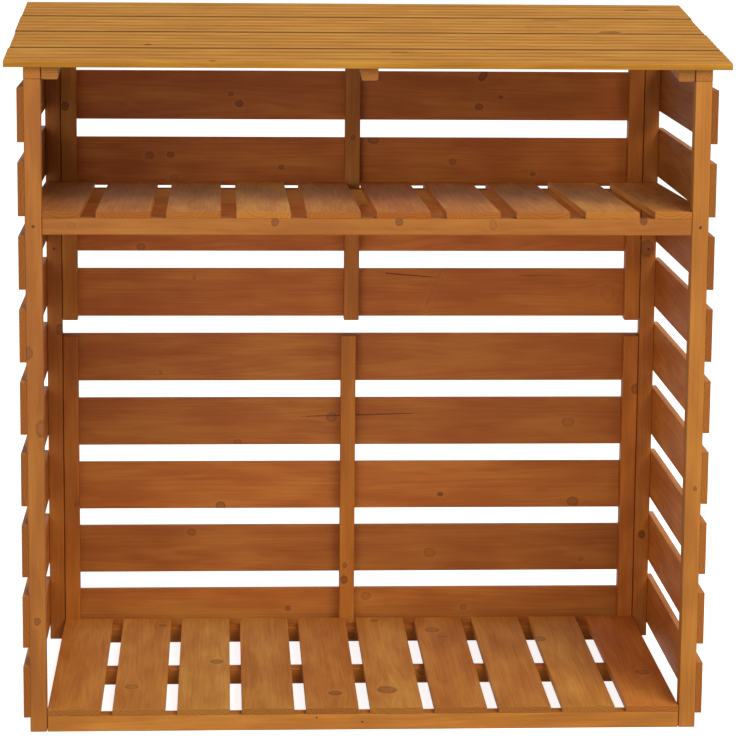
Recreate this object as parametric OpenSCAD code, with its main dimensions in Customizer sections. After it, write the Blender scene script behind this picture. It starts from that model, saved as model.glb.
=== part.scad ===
// Log store: an open timber frame with slatted sides, a boarded back in two panels,
// a slatted floor, a slatted shelf, and a roof of grooved boards that falls to the front.
// Origin: on the ground in the middle of the overall footprint.
// +X is to the right, the open front faces -Y, +Z is up.  Sizes are in millimetres.

/* [Overall] */
// Width over the outer faces of the corner posts
frame_w = 1136; // [700:2:1500]
// Depth from the front of the front posts to the back of the rear posts
frame_d = 595; // [400:5:800]
// Height of the front posts at their front face
front_h = 1110; // [920:5:1400]
// Slope of the roof, falling towards the front, in degrees
roof_pitch = 6.1; // [2:0.1:12]

/* [Timber] */
// Side of the square batten that posts, rails, bearers and back battens are cut from
batten = 28; // [22:1:40]
// Width of a board: side slats, back boards, floor slats and shelf slats
board_w = 90; // [70:1:104]
// Thickness of a board
board_t = 11; // [8:0.5:18]

/* [Sides] */
// Smallest gap between two side slats; they spread evenly over the posts
side_slat_min_gap = 25; // [10:1:60]
// Height of the lowest side slat above the ground
side_slat_lift = 25.5; // [5:0.5:60]
// Drop from the top of the front post to the top of the highest side slat
side_slat_drop = 14.5; // [5:0.5:60]
// Height of the sloping rail on top of the posts
top_rail_h = 20; // [15:1:40]

/* [Back] */
// Drop from the top of the front post down to the top of the highest back board
back_board_drop = 34.5; // [20:0.5:80]
// How far the upper battens reach below the lowest board of the upper panel
upper_batten_tail = 3.5; // [0:0.5:15]
// How far the upper battens reach above the highest board
upper_batten_head = 30; // [0:1:40]
// Side clearance between a back panel's outer battens and the rear posts
panel_fit = 1; // [1:0.5:10]
// How far the upper panel's middle batten stands to the right of the middle
upper_mid_batten_shift = -2; // [-20:1:20]
// How far the lower panel's middle batten stands to the right of the middle
lower_mid_batten_shift = -7; // [-20:1:20]

/* [Floor] */
// Smallest gap between two floor slats; they spread evenly between the posts
floor_slat_min_gap = 15; // [5:1:60]
// End clearance between the floor rails and the posts' inner faces
floor_fit = 1; // [0.5:0.5:5]

/* [Shelf] */
// Height of the underside of the shelf's front rail above the ground
shelf_h = 852.5; // [400:0.5:900]
// Fall of the shelf from front to back, in degrees
shelf_fall = 1.9; // [0:0.1:3]
// Smallest gap between two shelf slats; they spread evenly between the sides
shelf_slat_min_gap = 20; // [5:1:60]
// Clearance between the shelf and what stands beside it
shelf_fit = 0.5; // [0.3:0.1:3]

/* [Roof] */
// How far the roof stands out beyond the outer faces of the posts on each side
roof_side_overhang = 32; // [15:1:100]
// Thickness of a roof board
roof_board_t = 11; // [8:0.5:20]
// Gap between two roof boards
roof_board_gap = 5; // [1:0.5:6]
// How far the roof's front edge stands out in front of the front posts
roof_front_overhang = 8; // [0:1:40]
// Distance by which the roof's rear edge stops short of the rear posts' back faces
roof_rear_setback = 21; // [0:1:60]
// Number of grooves along a roof board; the narrower front board has one fewer
groove_count = 4; // [0:1:8]
// Width of a groove
groove_w = 8; // [2:0.5:8]
// Depth of a groove
groove_depth = 3; // [0.5:0.5:4]
// Height of the battens under the roof boards
roof_batten_h = 22; // [18:1:40]
// Distance by which the roof battens stop short of the roof's front and rear edges
roof_batten_setback = 10; // [0:1:40]
// Clearance between the outer roof battens and the sloping top rails
roof_fit = 1; // [0.5:0.5:5]

/* [Hidden] */

// Finishes of the stained softwood: planed faces, sawn battens and the roof
board_colour = "peru";
batten_colour = "sandybrown";
roof_colour = "burlywood";

// Boards that have a node each
lower_board_count = 5;
upper_board_count = 4;
roof_board_count = 4;

// Footprint: the roof's upper front edge is the front, the back boards are the back
roof_nose = roof_front_overhang + roof_board_t * sin(roof_pitch);
y_front = (roof_nose - frame_d - board_t) / 2;    // front face of the front posts
y_back = y_front + frame_d;                       // back face of the rear posts
y_bay = y_back - batten;                          // front face of the rear posts

x_out = frame_w / 2;          // outer face of the posts, inner face of the side slats
x_in = x_out - batten;        // inner face of the posts

// Number of boards that fit in a span with at least the given gap between them, and
// the step from one to the next when they fill that span evenly
function fit_count(span, gap) = floor((span + gap) / (board_w + gap));
function fit_step(span, gap) = (span - board_w) / (fit_count(span, gap) - 1);

// Height over which the side slats spread
side_slat_span = front_h - side_slat_drop - side_slat_lift;

// Spacing of the back boards, one even spacing from the ground over both panels
back_count = lower_board_count + upper_board_count;
back_pitch = (front_h - back_board_drop - board_w) / (back_count - 1);

// Slope of the roof: height of the boards' underside at a distance y
roof_rise = tan(roof_pitch);
function roof_under(y) = front_h + top_rail_h + (y - y_front) * roof_rise;

// The roof's size from side to side, and the sloping length that its boards share.  The
// lands between the grooves are all equally wide, and the front board is one land narrower
roof_w = frame_w + 2 * roof_side_overhang;
roof_len = (frame_d + roof_front_overhang - roof_rear_setback) / cos(roof_pitch);
function roof_lands(i) = groove_count + (i == 0 && groove_count > 0 ? 0 : 1);
function roof_lands_before(i) = i == 0 ? 0 : roof_lands_before(i - 1) + roof_lands(i - 1);
roof_land = (roof_len - (roof_board_count - 1) * roof_board_gap)
    / roof_lands_before(roof_board_count);

// Fall of the shelf: height of the slats' underside at a distance y
shelf_drop = tan(shelf_fall);
function shelf_seat(y) = shelf_h + batten - (y - y_front) * shelf_drop;

// Level bar with square ends, given by its lowest corner and its size
module bar(corner, size) {
    translate(corner) cube(size);
}

// Bar with upright ends whose top and bottom are sloping lines: x0 to x1 across, y0 to y1
// front to back, from the heights in low to the heights in high at those two places
module sloped_bar(x0, x1, y0, y1, low, high) {
    translate([x0, 0, 0])
        rotate([90, 0, 90])
            linear_extrude(x1 - x0)
                polygon([[y0, low[0]], [y1, low[1]], [y1, high[1]], [y0, high[0]]]);
}

// Corner post that stands on the ground and is cut to the slope under the top rail
module post(x0, y0) {
    y1 = y0 + batten;
    tops = [roof_under(y0) - top_rail_h, roof_under(y1) - top_rail_h];
    color(batten_colour) sloped_bar(x0, x0 + batten, y0, y1, [0, 0], tops);
}

// Sloping rail on top of a front post and a rear post
module top_rail(x0) {
    top = [roof_under(y_front), roof_under(y_back)];
    low = [top[0] - top_rail_h, top[1] - top_rail_h];
    color(batten_colour) sloped_bar(x0, x0 + batten, y_front, y_back, low, top);
}

// Slats of one side, fixed to the outer faces of its two posts
module side_slats(x0) {
    step = fit_step(side_slat_span, side_slat_min_gap);
    color(board_colour)
        for (i = [0 : fit_count(side_slat_span, side_slat_min_gap) - 1])
            bar([x0, y_front, side_slat_lift + i * step], [board_t, frame_d, board_w]);
}

// Back board number i counted from the ground, fixed behind the rear posts
module back_board(i) {
    color(board_colour) bar([-x_out, y_back, i * back_pitch], [frame_w, board_t, board_w]);
}

// Upright batten of a back panel, between the rear posts; side is -1, 0 or 1
module back_batten(side, shift, z0, z1) {
    centre = side * (x_in - panel_fit - batten / 2) + shift;
    color(batten_colour)
        bar([centre - batten / 2, y_bay, z0], [batten, batten, z1 - z0]);
}

module lower_back_batten(side, shift = 0) {
    back_batten(side, shift, 0, (lower_board_count - 1) * back_pitch + board_w);
}

module upper_back_batten(side, shift = 0) {
    z0 = lower_board_count * back_pitch - upper_batten_tail;
    z1 = (back_count - 1) * back_pitch + board_w + upper_batten_head;
    back_batten(side, shift, z0, z1);
}

// Floor rail on the ground, between the posts' inner faces
module floor_rail(y0) {
    color(batten_colour)
        bar([-x_in + floor_fit, y0, 0], [2 * (x_in - floor_fit), batten, batten]);
}

// Floor slats, front to back on the three rails
module floor_slats() {
    span = 2 * (x_in - floor_fit);
    step = fit_step(span, floor_slat_min_gap);
    color(board_colour)
        for (i = [0 : fit_count(span, floor_slat_min_gap) - 1])
            bar([-span / 2 + i * step, y_front, batten], [board_w, y_bay - y_front, board_t]);
}

// Cross rail of the shelf, its top cut to the fall of the slats
module shelf_rail(y0) {
    y1 = y0 + batten;
    top = [shelf_seat(y0), shelf_seat(y1)];
    low = [top[0] - batten, top[1] - batten];
    half = x_in - shelf_fit;
    color(batten_colour) sloped_bar(-half, half, y0, y1, low, top);
}

// Bearer of the shelf beside a side's slats, from the front post to the rear post
module shelf_bearer(x0) {
    y0 = y_front + batten;
    top = [shelf_seat(y0), shelf_seat(y_bay)];
    low = [top[0] - batten, top[1] - batten];
    color(batten_colour) sloped_bar(x0, x0 + batten, y0, y_bay, low, top);
}

// Shelf slats between the side slats, the outer two cut out round the front posts
module shelf_slats() {
    half = x_out - shelf_fit;
    step = fit_step(2 * half, shelf_slat_min_gap);
    seat = [shelf_seat(y_front), shelf_seat(y_bay)];
    top = [seat[0] + board_t, seat[1] + board_t];
    notch = batten + shelf_fit;
    color(board_colour)
        difference() {
            for (i = [0 : fit_count(2 * half, shelf_slat_min_gap) - 1]) {
                x0 = -half + i * step;
                sloped_bar(x0, x0 + board_w, y_front, y_bay, seat, top);
            }
            for (side = [-1, 1])
                translate([side * x_out, y_front, shelf_h + batten])
                    cube([2 * notch, 2 * notch, 4 * board_t], center = true);
        }
}

// Places children in the plane of the roof: y runs up the slope from the roof's front
// edge and z = 0 is the underside of the boards
module on_roof() {
    y_edge = y_front - roof_front_overhang;
    translate([0, y_edge, roof_under(y_edge)]) rotate([roof_pitch, 0, 0]) children();
}

// Section of a roof board with so many lands, grooved between them along its upper face
module roof_board_section(lands) {
    difference() {
        square([lands * roof_land, roof_board_t]);
        if (lands > 1)
            for (i = [1 : lands - 1])
                translate([i * roof_land - groove_w / 2, roof_board_t - groove_depth])
                    square([groove_w, 2 * groove_depth]);
    }
}

// Roof board number i counted from the front edge
module roof_board(i) {
    color(roof_colour)
        on_roof()
            translate([-roof_w / 2, roof_lands_before(i) * roof_land + i * roof_board_gap, 0])
                rotate([90, 0, 90])
                    linear_extrude(roof_w) roof_board_section(roof_lands(i));
}

// Batten under the roof boards; side is -1, 0 or 1
module roof_batten(side) {
    centre = side * (x_in - roof_fit - batten / 2);
    color(batten_colour)
        on_roof()
            bar([centre - batten / 2, roof_batten_setback, -roof_batten_h],
                [batten, roof_len - 2 * roof_batten_setback, roof_batten_h]);
}

post(-x_out, y_front);  // left_front_post
post(x_in, y_front);  // right_front_post
post(-x_out, y_bay);  // left_rear_post
post(x_in, y_bay);  // right_rear_post
top_rail(-x_out);  // left_top_rail
top_rail(x_in);  // right_top_rail
side_slats(-x_out - board_t);  // left_side_slats
side_slats(x_out);  // right_side_slats
back_board(0);  // lower_back_board_1
back_board(1);  // lower_back_board_2
back_board(2);  // lower_back_board_3
back_board(3);  // lower_back_board_4
back_board(4);  // lower_back_board_5
back_board(5);  // upper_back_board_1
back_board(6);  // upper_back_board_2
back_board(7);  // upper_back_board_3
back_board(8);  // upper_back_board_4
lower_back_batten(-1);  // lower_back_batten_left
lower_back_batten(0, lower_mid_batten_shift);  // lower_back_batten_middle
lower_back_batten(1);  // lower_back_batten_right
upper_back_batten(-1);  // upper_back_batten_left
upper_back_batten(0, upper_mid_batten_shift);  // upper_back_batten_middle
upper_back_batten(1);  // upper_back_batten_right
floor_rail(y_front);  // floor_front_rail
floor_rail((y_front + y_bay - batten) / 2);  // floor_middle_rail
floor_rail(y_bay - batten);  // floor_rear_rail
floor_slats();
shelf_rail(y_front);  // shelf_front_rail
shelf_rail(y_bay - batten);  // shelf_rear_rail
shelf_bearer(-x_out);  // shelf_left_bearer
shelf_bearer(x_in);  // shelf_right_bearer
shelf_slats();
roof_board(0);  // roof_board_1
roof_board(1);  // roof_board_2
roof_board(2);  // roof_board_3
roof_board(3);  // roof_board_4
roof_batten(-1);  // roof_batten_left
roof_batten(0);  // roof_batten_middle
roof_batten(1);  // roof_batten_right
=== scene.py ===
"""Looks of an open-fronted timber log store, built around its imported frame.

Every board and batten is a stick of planed softwood: a section with eased corners, carried
along a straight line, with eased ends.  A stick knows where it was cut from its tree, so
rings, end grain and knots come out of one solid pattern on all of its faces.
Lengths are metres.  The ground is z = 0, the open front faces -Y and +X is to the right.
"""

from __future__ import annotations

import logging
import math
from dataclasses import dataclass
from enum import Enum
from typing import Any, Iterable, Sequence

import bpy
import numpy as np
from mathutils import Euler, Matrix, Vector

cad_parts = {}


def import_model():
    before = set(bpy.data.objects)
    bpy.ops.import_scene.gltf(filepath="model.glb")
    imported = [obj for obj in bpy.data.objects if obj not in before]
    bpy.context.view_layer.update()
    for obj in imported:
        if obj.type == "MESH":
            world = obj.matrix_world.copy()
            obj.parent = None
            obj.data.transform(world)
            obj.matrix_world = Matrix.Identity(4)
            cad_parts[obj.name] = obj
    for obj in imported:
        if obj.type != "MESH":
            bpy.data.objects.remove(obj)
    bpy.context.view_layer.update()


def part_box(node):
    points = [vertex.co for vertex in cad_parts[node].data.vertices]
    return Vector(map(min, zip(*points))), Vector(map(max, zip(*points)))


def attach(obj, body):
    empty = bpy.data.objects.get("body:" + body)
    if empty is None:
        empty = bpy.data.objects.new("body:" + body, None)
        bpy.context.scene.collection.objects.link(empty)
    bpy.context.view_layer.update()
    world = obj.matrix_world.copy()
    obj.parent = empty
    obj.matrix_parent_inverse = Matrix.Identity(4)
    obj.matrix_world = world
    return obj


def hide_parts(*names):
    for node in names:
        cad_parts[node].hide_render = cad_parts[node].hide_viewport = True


Array = np.ndarray
Ends = tuple[tuple[float, float], tuple[float, float]]
Material = bpy.types.Material
Size = tuple[float, float, float]
Socket = bpy.types.NodeSocket
Tree = bpy.types.NodeTree

LOG = logging.getLogger("log_store")
MM = 0.001
BODY = "root"
SEED = 1184
WHITE = (1.0, 1.0, 1.0, 1.0)

X, Y, Z = np.eye(3)
SQUARE: Ends = ((0.0, 0.0), (0.0, 0.0))

KNOTS_PER_FACE = 3        # a face reads only the knots that matter most to it
BAY = 65 * MM             # longest face along a stick
CORNER_STEPS = 3          # straight pieces in the bend that eases a corner
END_EASE = 0.8            # easing of a sawn end, as a share of the corners'
FLOW_SQUEEZE = 0.38       # how much a length counts where the grain flows round a knot
BODY_SQUEEZE = 0.85       # and within the knot, which a saw cuts a little aslant
RED_TINT = np.array([0.04, -0.07, -0.16])      # what one step of red adds to each colour

SIDE_SLATS = 9
LAYER_SLATS = 10          # on the floor, and on the shelf
BACK_BOARDS = {"lower": 5, "upper": 4}
ACROSS = ("left", "middle", "right")


class Slot(Enum):
    """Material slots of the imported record."""

    BOARDS = "boards"
    BATTENS = "battens"
    ROOF = "roof_boards"
    SCREWS = "screws"


# ---------------------------------------------------------------- shapes


@dataclass
class Shell:
    """A closed surface: points and outward normals as (n, 3) arrays, faces as point numbers."""

    points: Array
    normals: Array
    faces: list[list[int]]


def eased(corners: Array, radius: float | Array) -> tuple[Array, Array]:
    """Rounds each corner of an outline that runs anticlockwise.

    The bend at corner c starts at a and ends at b, each the radius away from c along its
    edge.  Its point at u between 0 and 1 is (1-u)^2 a + 2u(1-u) c + u^2 b, and its normal
    turns evenly from the one edge's normal to the other's.

    Args:
        corners: (n, 2) corner points.
        radius: one length for all corners, or one for each.

    Returns:
        The outline's points and their outward normals, both (n * (CORNER_STEPS + 1), 2).
    """
    back = np.roll(corners, 1, axis=0) - corners
    ahead = np.roll(corners, -1, axis=0) - corners
    back /= np.linalg.norm(back, axis=1, keepdims=True)
    ahead /= np.linalg.norm(ahead, axis=1, keepdims=True)
    reach = np.broadcast_to(radius, len(corners))[:, None]
    a = (corners + reach * back)[:, None]
    b = (corners + reach * ahead)[:, None]
    c = corners[:, None]
    u = np.linspace(0.0, 1.0, CORNER_STEPS + 1)[None, :, None]
    points = (1 - u) ** 2 * a + 2 * u * (1 - u) * c + u**2 * b
    side_in = np.stack([-back[:, 1], back[:, 0]], axis=1)[:, None]
    side_out = np.stack([ahead[:, 1], -ahead[:, 0]], axis=1)[:, None]
    normals = (1 - u) * side_in + u * side_out
    normals /= np.linalg.norm(normals, axis=2, keepdims=True)
    return points.reshape(-1, 2), normals.reshape(-1, 2)


@dataclass(frozen=True)
class Sweep:
    """How a section is carried: its length, the easing and lean of its ends, its bays.

    ends holds, for the start and the end, how far the end plane leans along the stick for
    each metre of the section's two directions.  bays is how many faces long it is.
    """

    length: float
    ease: float
    ends: Ends = SQUARE
    bays: int = 1


def carried(corners: Array, radius: float | Array, sweep: Sweep, origin: Array,
            axes: Array) -> Shell:
    """Carries a section along a straight line and closes it with eased ends.

    Ring k stands at s along the line.  In an end's easing the ring draws in by
    e (1 - sin q) at s = e (1 - cos q), with q from 0 at the flat end to a quarter turn.
    A point moves along by the start's lean times 1-u and the end's times u, u = s / length.

    Args:
        corners: (n, 2) section corners, anticlockwise in the plane of the first two axes.
        radius: easing of the section's corners.
        sweep: what happens along the third axis.
        origin: where section (0, 0) starts.
        axes: (3, 3) rows, right-handed: the section's two directions and the line's.

    Returns:
        The closed shell in place.
    """
    outline, out = eased(corners, radius)
    q = np.linspace(0.0, math.pi / 2, CORNER_STEPS + 1)
    rise, draw = sweep.ease * (1 - np.cos(q)), sweep.ease * (1 - np.sin(q))
    inner = np.linspace(sweep.ease, sweep.length - sweep.ease, sweep.bays + 1)[1:-1]
    s = np.concatenate([rise, inner, sweep.length - rise[::-1]])
    level = np.zeros(len(inner))
    inset = np.concatenate([draw, level, draw[::-1]])
    facing = np.concatenate([-np.cos(q), level, np.cos(q)[::-1]])
    u = (s / sweep.length)[:, None]
    ring = outline[None] - inset[:, None, None] * out[None]
    lean = ring @ np.array(sweep.ends).T
    along = s[:, None] + lean[..., 0] * (1 - u) + lean[..., 1] * u
    local = np.concatenate([ring, along[..., None]], axis=2)
    sideways = np.sqrt(1 - facing**2)[:, None, None]
    endways = np.broadcast_to(facing[:, None, None], (*along.shape, 1))
    normal = np.concatenate([out[None] * sideways, endways], axis=2)
    return Shell(origin + local.reshape(-1, 3) @ axes, normal.reshape(-1, 3) @ axes,
                 tube_faces(*along.shape))


def tube_faces(rings: int, count: int) -> list[list[int]]:
    """Joins rings of points, each running anticlockwise about the way they are stacked.

    Args:
        rings: number of rings.
        count: points in each.

    Returns:
        Four-cornered faces between the rings, then a cap on the first and on the last.
    """
    first = np.arange(rings - 1)[:, None] * count + np.arange(count)[None]
    turn = np.arange(rings - 1)[:, None] * count + (np.arange(count)[None] + 1) % count
    quads = np.stack([first, turn, turn + count, first + count], axis=2).reshape(-1, 4)
    start = list(range(count))[::-1]
    end = list(range((rings - 1) * count, rings * count))
    return quads.tolist() + [start, end]


def rectangle(width: float, height: float) -> Array:
    """Corners of a rectangle about the middle, anticlockwise."""
    return np.array([[-1, -1], [1, -1], [1, 1], [-1, 1]]) * [width / 2, height / 2]


def slope(angle: float) -> tuple[Array, Array]:
    """Direction to the back and up by an angle, and the one square to it."""
    c, s = math.cos(angle), math.sin(angle)
    return np.array([0.0, c, s]), np.array([0.0, -s, c])


# ---------------------------------------------------------------- sticks of timber


@dataclass(frozen=True)
class Timber:
    """One size of planed timber, with the easing of its corners."""

    slot: Slot
    width: float
    thick: float
    ease: float


BOARD = Timber(Slot.BOARDS, 90 * MM, 11 * MM, 1.1 * MM)
BATTEN = Timber(Slot.BATTENS, 28 * MM, 28 * MM, 2.0 * MM)


@dataclass(frozen=True)
class Knot:
    """A branch cut across, in millimetres from the stick's start and its middle line.

    dark is 1 where the whole knot is dark and 0 where only its rim is.  stretch draws it
    out along the grain, and turn, in degrees, swings that long way round.  A long thin one
    with a radius of a millimetre is a drying crack.
    """

    along: float
    across: float
    radius: float
    dark: float = 0.6
    stretch: float = 1.0
    turn: float = 0.0

    def place(self, s: Array, a: Array) -> Array:
        """Places seen from the knot: along and across it, then its radius.

        Args:
            s: distances along the stick.
            a: distances across it.

        Returns:
            (n, 3) values, in metres.
        """
        turn = math.radians(self.turn)
        ds, da = s - self.along * MM, a - self.across * MM
        u = (math.cos(turn) * ds + math.sin(turn) * da) / self.stretch
        v = math.cos(turn) * da - math.sin(turn) * ds
        return np.stack([u, v, np.full(s.shape, self.radius * MM)], axis=-1)


@dataclass(frozen=True)
class Growth:
    """Where a stick lay in its tree.

    pith is the place of the tree's middle seen from the stick's middle line, as a distance
    across and one through the stick.  drift is how fast it wanders off, per metre.  trunk
    is the height up the trunk, so that no two sticks repeat each other.
    """

    pith: tuple[float, float]
    drift: tuple[float, float]
    trunk: float


@dataclass(frozen=True)
class Look:
    """A stick's colour and knots.

    light is the share by which it is lighter, and red how many steps redder, or yellower
    below 0.  knots is None where they are left to the yard's draw.
    """

    light: float
    red: float
    knots: tuple[Knot, ...] | None = None

    def gain(self) -> Array:
        """Factors on red, green and blue."""
        return (1 + self.light) * (1 + self.red * RED_TINT)


class TimberYard:
    """Cuts sticks from trees, with one seeded row of random draws in building order."""

    def __init__(self, seed: int) -> None:
        """Starts the row of draws."""
        self.rng = np.random.default_rng(seed)

    def growth(self, width: float, thickness: float) -> Growth:
        """Draws a place in the tree: boards lie flat to the rings, battens anywhere.

        The pith is 18 to 62 mm above or below, aside by 16 mm or so for a board and 30 mm
        for a batten, and wanders off by some 8 mm a metre across and 16 mm through.

        Args:
            width: the stick's size across the grain.
            thickness: its size through.

        Returns:
            The stick's growth.
        """
        board = width > 2 * thickness
        aside = self.rng.normal(0.0, 0.016 if board else 0.03)
        below = self.rng.uniform(0.018, 0.062) * self.rng.choice([-1, 1])
        drift = self.rng.normal(0.0, [0.008, 0.016])
        return Growth((aside, below), tuple(drift), self.rng.uniform(0.0, 40.0))

    def look(self, length: float, width: float) -> Look:
        """Draws up to two small knots at random places of a stick, then its colour.

        Args:
            length: the stick's length.
            width: its width.

        Returns:
            The look.
        """
        count = self.rng.choice([0, 1, 1, 2])
        spots = self.rng.uniform([0.05, -0.45, 2.5], [0.95, 0.45, 7.0], (2, 3))[:count]
        light, red = self.rng.normal(0.0, [0.06, 0.25])
        return Look(float(np.clip(light, -0.12, 0.12)), float(np.clip(red, -0.6, 0.6)),
                    tuple(Knot(a * length / MM, b * width / MM, r, 1.4 - r / 6)
                          for a, b, r in spots))


@dataclass
class Stick:
    """One board or batten, with its place, shape and wood.

    start is the middle of the start end, along the grain's direction, across the direction
    of the width.  shade holds factors on red, green and blue for each point, for painted
    shade: the roof's boards have it in their grooves and joints and on their front edge.
    """

    start: Array
    along: Array
    across: Array
    shell: Shell
    growth: Growth
    look: Look
    knots: Sequence[Knot]
    shade: Array | None = None

    def wood(self) -> tuple[dict[str, Array], dict[str, Array]]:
        """Works out what the wood's pattern needs at each point and each face corner.

        grain is the place in the tree: height up the trunk, then across and through from
        the pith.  endgrain is the square of the cosine between the surface and the grain,
        three times.  knot_n is the place seen from a knot, and knot_dark says how dark each
        of them is.

        Returns:
            The values by point and those by face corner, each (n, 3).
        """
        through = np.cross(self.along, self.across)
        away = self.shell.points - self.start
        s, a, t = (away @ axis for axis in (self.along, self.across, through))
        pith, drift = self.growth.pith, self.growth.drift
        grain = np.stack([s + self.growth.trunk, a + pith[0] + drift[0] * s,
                          t + pith[1] + drift[1] * s], axis=1)
        endgrain = np.repeat((self.shell.normals @ self.along)[:, None] ** 2, 3, axis=1)
        # the look's colour gain times the stick's painted shade, where it has one
        shade = np.ones((len(s), 3)) if self.shade is None else self.shade
        return ({"grain": grain, "tone_and_painted_shade": shade * self.look.gain(), "endgrain": endgrain},
                self.nearest_knots(s, a))

    def nearest_knots(self, s: Array, a: Array) -> dict[str, Array]:
        """Gives every face the knots that matter most to it.

        A knot matters by its distance from the face's middle, measured in its own radii.

        Args:
            s: distance along the stick of each point.
            a: distance across it of each point.

        Returns:
            The values at each face corner.
        """
        sizes = np.array([len(face) for face in self.shell.faces])
        corner = np.concatenate(self.shell.faces)
        face = np.repeat(np.arange(len(sizes)), sizes)
        middle = [np.bincount(face, values[corner]) / sizes for values in (s, a)]
        knots = [*self.knots, *[Knot(0.0, 0.0, 0.0)] * KNOTS_PER_FACE]
        seen = np.stack([knot.place(*middle) for knot in knots])
        distance = np.hypot(FLOW_SQUEEZE * seen[..., 0], seen[..., 1])
        radii = distance / np.maximum(seen[..., 2], 1e-9)
        best = np.argsort(radii, axis=0, kind="stable")[:KNOTS_PER_FACE][:, face]
        places = np.stack([knot.place(s[corner], a[corner]) for knot in knots])
        values = {f"knot_{i + 1}": places[best[i], np.arange(len(corner))]
                  for i in range(KNOTS_PER_FACE)}
        values["knot_dark"] = np.array([knot.dark for knot in knots])[best.T]
        return values


@dataclass
class Carpenter:
    """Makes sticks and joins them into pieces of the scene."""

    yard: TimberYard

    def stick(self, name: str, start: Array, along: Array, across: Array, size: Size,
              ease: float, *, section: Array | None = None, radius: Array | None = None,
              ends: Ends = SQUARE) -> Stick:
        """Makes one straight stick.

        Args:
            name: the stick's name, under which LOOKS may say what it looks like.
            start: middle of the start end.
            along: direction of the grain.
            across: direction of the width.
            size: length, width and thickness.
            ease: easing of the corners and the ends.
            section: section corners, where it isn't a plain rectangle.
            radius: easing of each section corner, where they differ.
            ends: lean of the start's and the end's plane along the stick, per metre across
                and through.

        Returns:
            The stick.
        """
        length, width, thick = size
        growth, drawn = self.yard.growth(width, thick), self.yard.look(length, width)
        known = LOOKS.get(name, drawn)
        corners = rectangle(width, thick) if section is None else section
        sweep = Sweep(length, END_EASE * ease, ends, max(2, math.ceil(length / BAY)))
        shell = carried(corners, ease if radius is None else radius, sweep, start,
                        np.stack([across, np.cross(along, across), along]))
        knots = drawn.knots if known.knots is None else known.knots
        return Stick(start, along, across, shell, growth, known, knots)

    def piece(self, node: str, sticks: Sequence[Stick], finish: Material,
              slot: Slot) -> None:
        """Joins sticks into one object that stands for a node of the frame.

        Args:
            node: the node that it replaces, from which it takes its name.
            sticks: what it is made of.
            finish: its material.
            slot: the record's material slot; not used.
        """
        made = mesh_object(f"{node}_wood", [s.shell for s in sticks], finish)
        woods = [s.wood() for s in sticks]
        for i, domain in enumerate(("POINT", "CORNER")):
            for key in woods[0][i]:
                values = np.concatenate([w[i][key] for w in woods]).astype(np.float32)
                layer = made.data.attributes.new(key, "FLOAT_VECTOR", domain)
                layer.data.foreach_set("vector", values.ravel())
        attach(made, BODY)
        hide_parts(node)
        LOG.info("%s: %d sticks, %d faces", made.name, len(sticks), len(made.data.polygons))


def linked(name: str, data: bpy.types.ID) -> bpy.types.Object:
    """Makes an object and links it to the scene.

    Args:
        name: its name.
        data: its mesh, lamp or camera.

    Returns:
        The object.
    """
    made = bpy.data.objects.new(name, data)
    bpy.context.scene.collection.objects.link(made)
    return made


def mesh_object(name: str, shells: Iterable[Shell], finish: Material) -> bpy.types.Object:
    """Puts shells into one mesh, shaded by their own normals.

    Args:
        name: the object's name.
        shells: closed surfaces.
        finish: the material.

    Returns:
        The object, linked to the scene, at the origin.
    """
    points, normals, faces, count = [], [], [], 0
    for shell in shells:
        points.append(shell.points)
        normals.append(shell.normals)
        faces += [[i + count for i in face] for face in shell.faces]
        count += len(shell.points)
    mesh = bpy.data.meshes.new(name)
    mesh.from_pydata(np.concatenate(points).tolist(), [], faces)
    mesh.polygons.foreach_set("use_smooth", np.ones(len(faces), bool))
    mesh.normals_split_custom_set_from_vertices(np.concatenate(normals).tolist())
    mesh.materials.append(finish)
    return linked(name, mesh)


# ---------------------------------------------------------------- finishes


def linear(colour: str) -> tuple[float, float, float, float]:
    """Turns an sRGB colour into a linear one.

    Args:
        colour: hex, such as "#c08040".

    Returns:
        Linear red, green and blue, and alpha 1.
    """
    parts = [int(colour[i:i + 2], 16) / 255 for i in (1, 3, 5)]
    light = [c / 12.92 if c <= 0.04045 else ((c + 0.055) / 1.055) ** 2.4 for c in parts]
    return (*light, 1.0)


def add(tree: Tree, kind: str, inputs: dict[Any, Any] | None = None, out: int | str = 0,
        **settings: Any) -> Socket | None:
    """Adds a node to a tree.

    Args:
        tree: the node tree.
        kind: the node's type without its "ShaderNode" prefix.
        inputs: input name or number to a value, or to the socket that feeds it.
        out: name or number of the output that is wanted.
        settings: the node's own settings.

    Returns:
        That output, or None from a node that has none.
    """
    node = tree.nodes.new(kind if kind.startswith("Node") else "ShaderNode" + kind)
    for key, value in settings.items():
        setattr(node, key, value)
    for key, value in (inputs or {}).items():
        if isinstance(value, bpy.types.NodeSocket):
            tree.links.new(value, node.inputs[key])
        else:
            node.inputs[key].default_value = value
    return node.outputs[out] if node.outputs else None


def blank_material(name: str) -> tuple[Material, Tree]:
    """Makes a material with an empty node tree.

    Args:
        name: the material's name.

    Returns:
        The material and its tree.
    """
    material = bpy.data.materials.new(name)
    material.use_nodes = True
    material.node_tree.nodes.clear()
    return material, material.node_tree


def coats(tree: Tree, colour: Any, layers: Iterable[tuple[Socket, Any]]) -> Socket:
    """Lays colours one over another.

    Args:
        tree: the material's tree.
        colour: the lowest colour, a socket or linear values.
        layers: for each coat, how much of it covers and its colour.

    Returns:
        The colour on top.
    """
    for share, paint in layers:
        colour = add(tree, "Mix", {0: share, 6: colour, 7: paint}, 2, data_type="RGBA")
    return colour


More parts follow.
